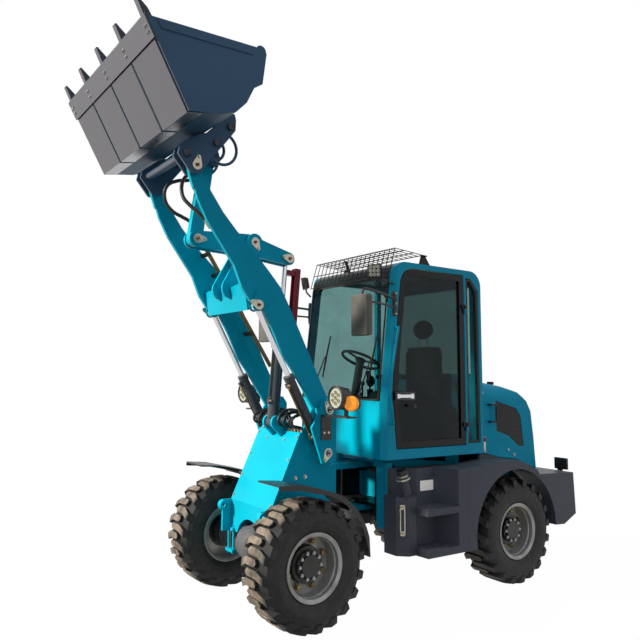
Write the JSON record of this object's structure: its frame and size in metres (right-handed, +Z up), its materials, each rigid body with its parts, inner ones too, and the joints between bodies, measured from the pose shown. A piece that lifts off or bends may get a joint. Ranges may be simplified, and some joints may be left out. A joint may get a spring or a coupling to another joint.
{
  "type": "compact articulated wheel loader",
  "caption": "Compact articulated wheel loader: raised twin-plate arm with Z-bar linkage, quick coupler and toothed bucket, closed cab, rounded hood, chunky tyres.",
  "frame": {"origin": "centre of the bounding box in plan, on the ground", "axes": "+X forward towards the bucket, +Y to the left (the door side), +Z up"},
  "size_m": [4.2228, 1.612, 3.8841],
  "materials": {
    "painted_teal": "gloss",
    "engine_iron": "rough",
    "axle_grey": "satin",
    "roof_black": "satin",
    "tinted_glass": "clear",
    "black_steel": "satin",
    "cab_plastic": "matte",
    "seat_fabric": "matte",
    "mirror_plastic": "matte",
    "lamp_black": "gloss",
    "door_black": "satin",
    "grille_black": "satin",
    "painted_graphite": "satin",
    "fender_plastic": "satin",
    "hose_rubber": "matte",
    "zinc_pipe": "satin",
    "painted_blue_grey": "satin",
    "edge_steel": "satin",
    "barrel_grey": "satin",
    "chrome": "polished",
    "painted_red": "gloss",
    "rim_silver": "satin",
    "tyre_rubber": "matte"
  },
  "bodies": {
    "rear_body": {"rear_frame": "painted_teal", "engine_block": "engine_iron", "rear_axle": "axle_grey", "cab_frame": "painted_teal", "cab_roof": "roof_black", "cab_glass": "tinted_glass", "roof_guard": "black_steel", "cab_interior": "cab_plastic", "seat_cushion": "seat_fabric", "seat_back": "seat_fabric", "mirrors": "mirror_plastic", "body_lamps": "lamp_black", "hood": "painted_teal", "hood_grilles": "grille_black", "side_boxes": "painted_graphite", "rear_fenders": "painted_graphite", "counterweight": "painted_graphite"},
    "door": {"cab_door": "door_black", "door_glass": "tinted_glass"},
    "front_body": {"front_frame": "painted_teal", "front_panel": "painted_teal", "front_axle": "axle_grey", "front_fenders": "fender_plastic", "head_lamps": "lamp_black", "hoses": "hose_rubber"},
    "arm": {"loader_arm": "painted_teal", "arm_pipes": "zinc_pipe"},
    "crank": {"bellcrank": "painted_teal"},
    "link": {"tilt_link": "painted_teal"},
    "bucket_body": {"coupler": "painted_blue_grey", "bucket": "painted_blue_grey", "cutting_edge": "edge_steel"},
    "lift_barrels": {"lift_barrels": "barrel_grey"},
    "lift_rods": {"lift_rods": "chrome"},
    "tilt_barrel": {"tilt_barrel": "barrel_grey"},
    "tilt_rod": {"tilt_rod": "chrome", "safety_strut": "painted_red"},
    "wheel_front_left": {"rim_front_left": "rim_silver", "tyre_front_left": "tyre_rubber"},
    "wheel_front_right": {"rim_front_right": "rim_silver", "tyre_front_right": "tyre_rubber"},
    "wheel_rear_left": {"rim_rear_left": "rim_silver", "tyre_rear_left": "tyre_rubber"},
    "wheel_rear_right": {"rim_rear_right": "rim_silver", "tyre_rear_right": "tyre_rubber"}
  },
  "joints": [
    {"name": "steer", "type": "hinge", "parent": "rear_body", "child": "front_body", "pos_m": [-0.31637, 0, 0.78], "axis": [0, 0, 1], "range_deg": [-38, 38]},
    {"name": "lift", "type": "hinge", "parent": "front_body", "child": "arm", "pos_m": [0.36863, 0, 1.414], "axis": [0, -1, 0], "range_deg": [-95, 0]},
    {"name": "bucket_tilt", "type": "hinge", "parent": "arm", "child": "bucket_body", "pos_m": [1.49424, 0, 3.06718], "axis": [0, 1, 0], "range_deg": [-35, 85]},
    {"name": "crank_turn", "type": "hinge", "parent": "arm", "child": "crank", "pos_m": [0.84985, 0, 2.6627], "axis": [0, -1, 0], "range_deg": [-12, 26]},
    {"name": "link_turn", "type": "hinge", "parent": "crank", "child": "link", "pos_m": [1.31608, 0, 2.63582], "axis": [0, -1, 0], "range_deg": [-62, 27]},
    {"name": "lift_barrels_swing", "type": "hinge", "parent": "front_body", "child": "lift_barrels", "pos_m": [0.37863, 0, 1.103], "axis": [0, -1, 0], "range_deg": [-90, 1]},
    {"name": "lift_rods_slide", "type": "slide", "parent": "lift_barrels", "child": "lift_rods", "axis": [0.4972, 0, 0.8676], "range_m": [-0.455, 0.01]},
    {"name": "tilt_barrel_swing", "type": "hinge", "parent": "front_body", "child": "tilt_barrel", "pos_m": [0.60863, 0, 1.307], "axis": [0, -1, 0], "range_deg": [-105, 1]},
    {"name": "tilt_rod_slide", "type": "slide", "parent": "tilt_barrel", "child": "tilt_rod", "axis": [-0.0728, 0, 0.9973], "range_m": [-0.368, 0.01]},
    {"name": "door_swing", "type": "hinge", "parent": "rear_body", "child": "door", "pos_m": [-0.91637, 0.57, 1.8], "axis": [0, 0, 1], "range_deg": [0, 80]},
    {"name": "roll_front_left", "type": "hinge", "parent": "front_body", "child": "wheel_front_left", "pos_m": [0.70863, 0.585, 0.42], "axis": [0, 1, 0], "continuous": true},
    {"name": "roll_front_right", "type": "hinge", "parent": "front_body", "child": "wheel_front_right", "pos_m": [0.70863, -0.585, 0.42], "axis": [0, 1, 0], "continuous": true},
    {"name": "roll_rear_left", "type": "hinge", "parent": "rear_body", "child": "wheel_rear_left", "pos_m": [-1.34137, 0.585, 0.42], "axis": [0, 1, 0], "continuous": true},
    {"name": "roll_rear_right", "type": "hinge", "parent": "rear_body", "child": "wheel_rear_right", "pos_m": [-1.34137, -0.585, 0.42], "axis": [0, 1, 0], "continuous": true}
  ],
  "couplings": [
    {"joint": "crank_turn", "follows": "bucket_tilt", "ratio": 0.28257},
    {"joint": "link_turn", "follows": "bucket_tilt", "ratio": -0.7084},
    {"joint": "lift_barrels_swing", "follows": "lift", "ratio": 0.92802},
    {"joint": "lift_rods_slide", "follows": "lift", "m_per_rad": 0.26836},
    {"joint": "tilt_barrel_swing", "follows": "lift", "ratio": 1.0818},
    {"joint": "tilt_rod_slide", "follows": "lift", "m_per_rad": 0.21619}
  ]
}
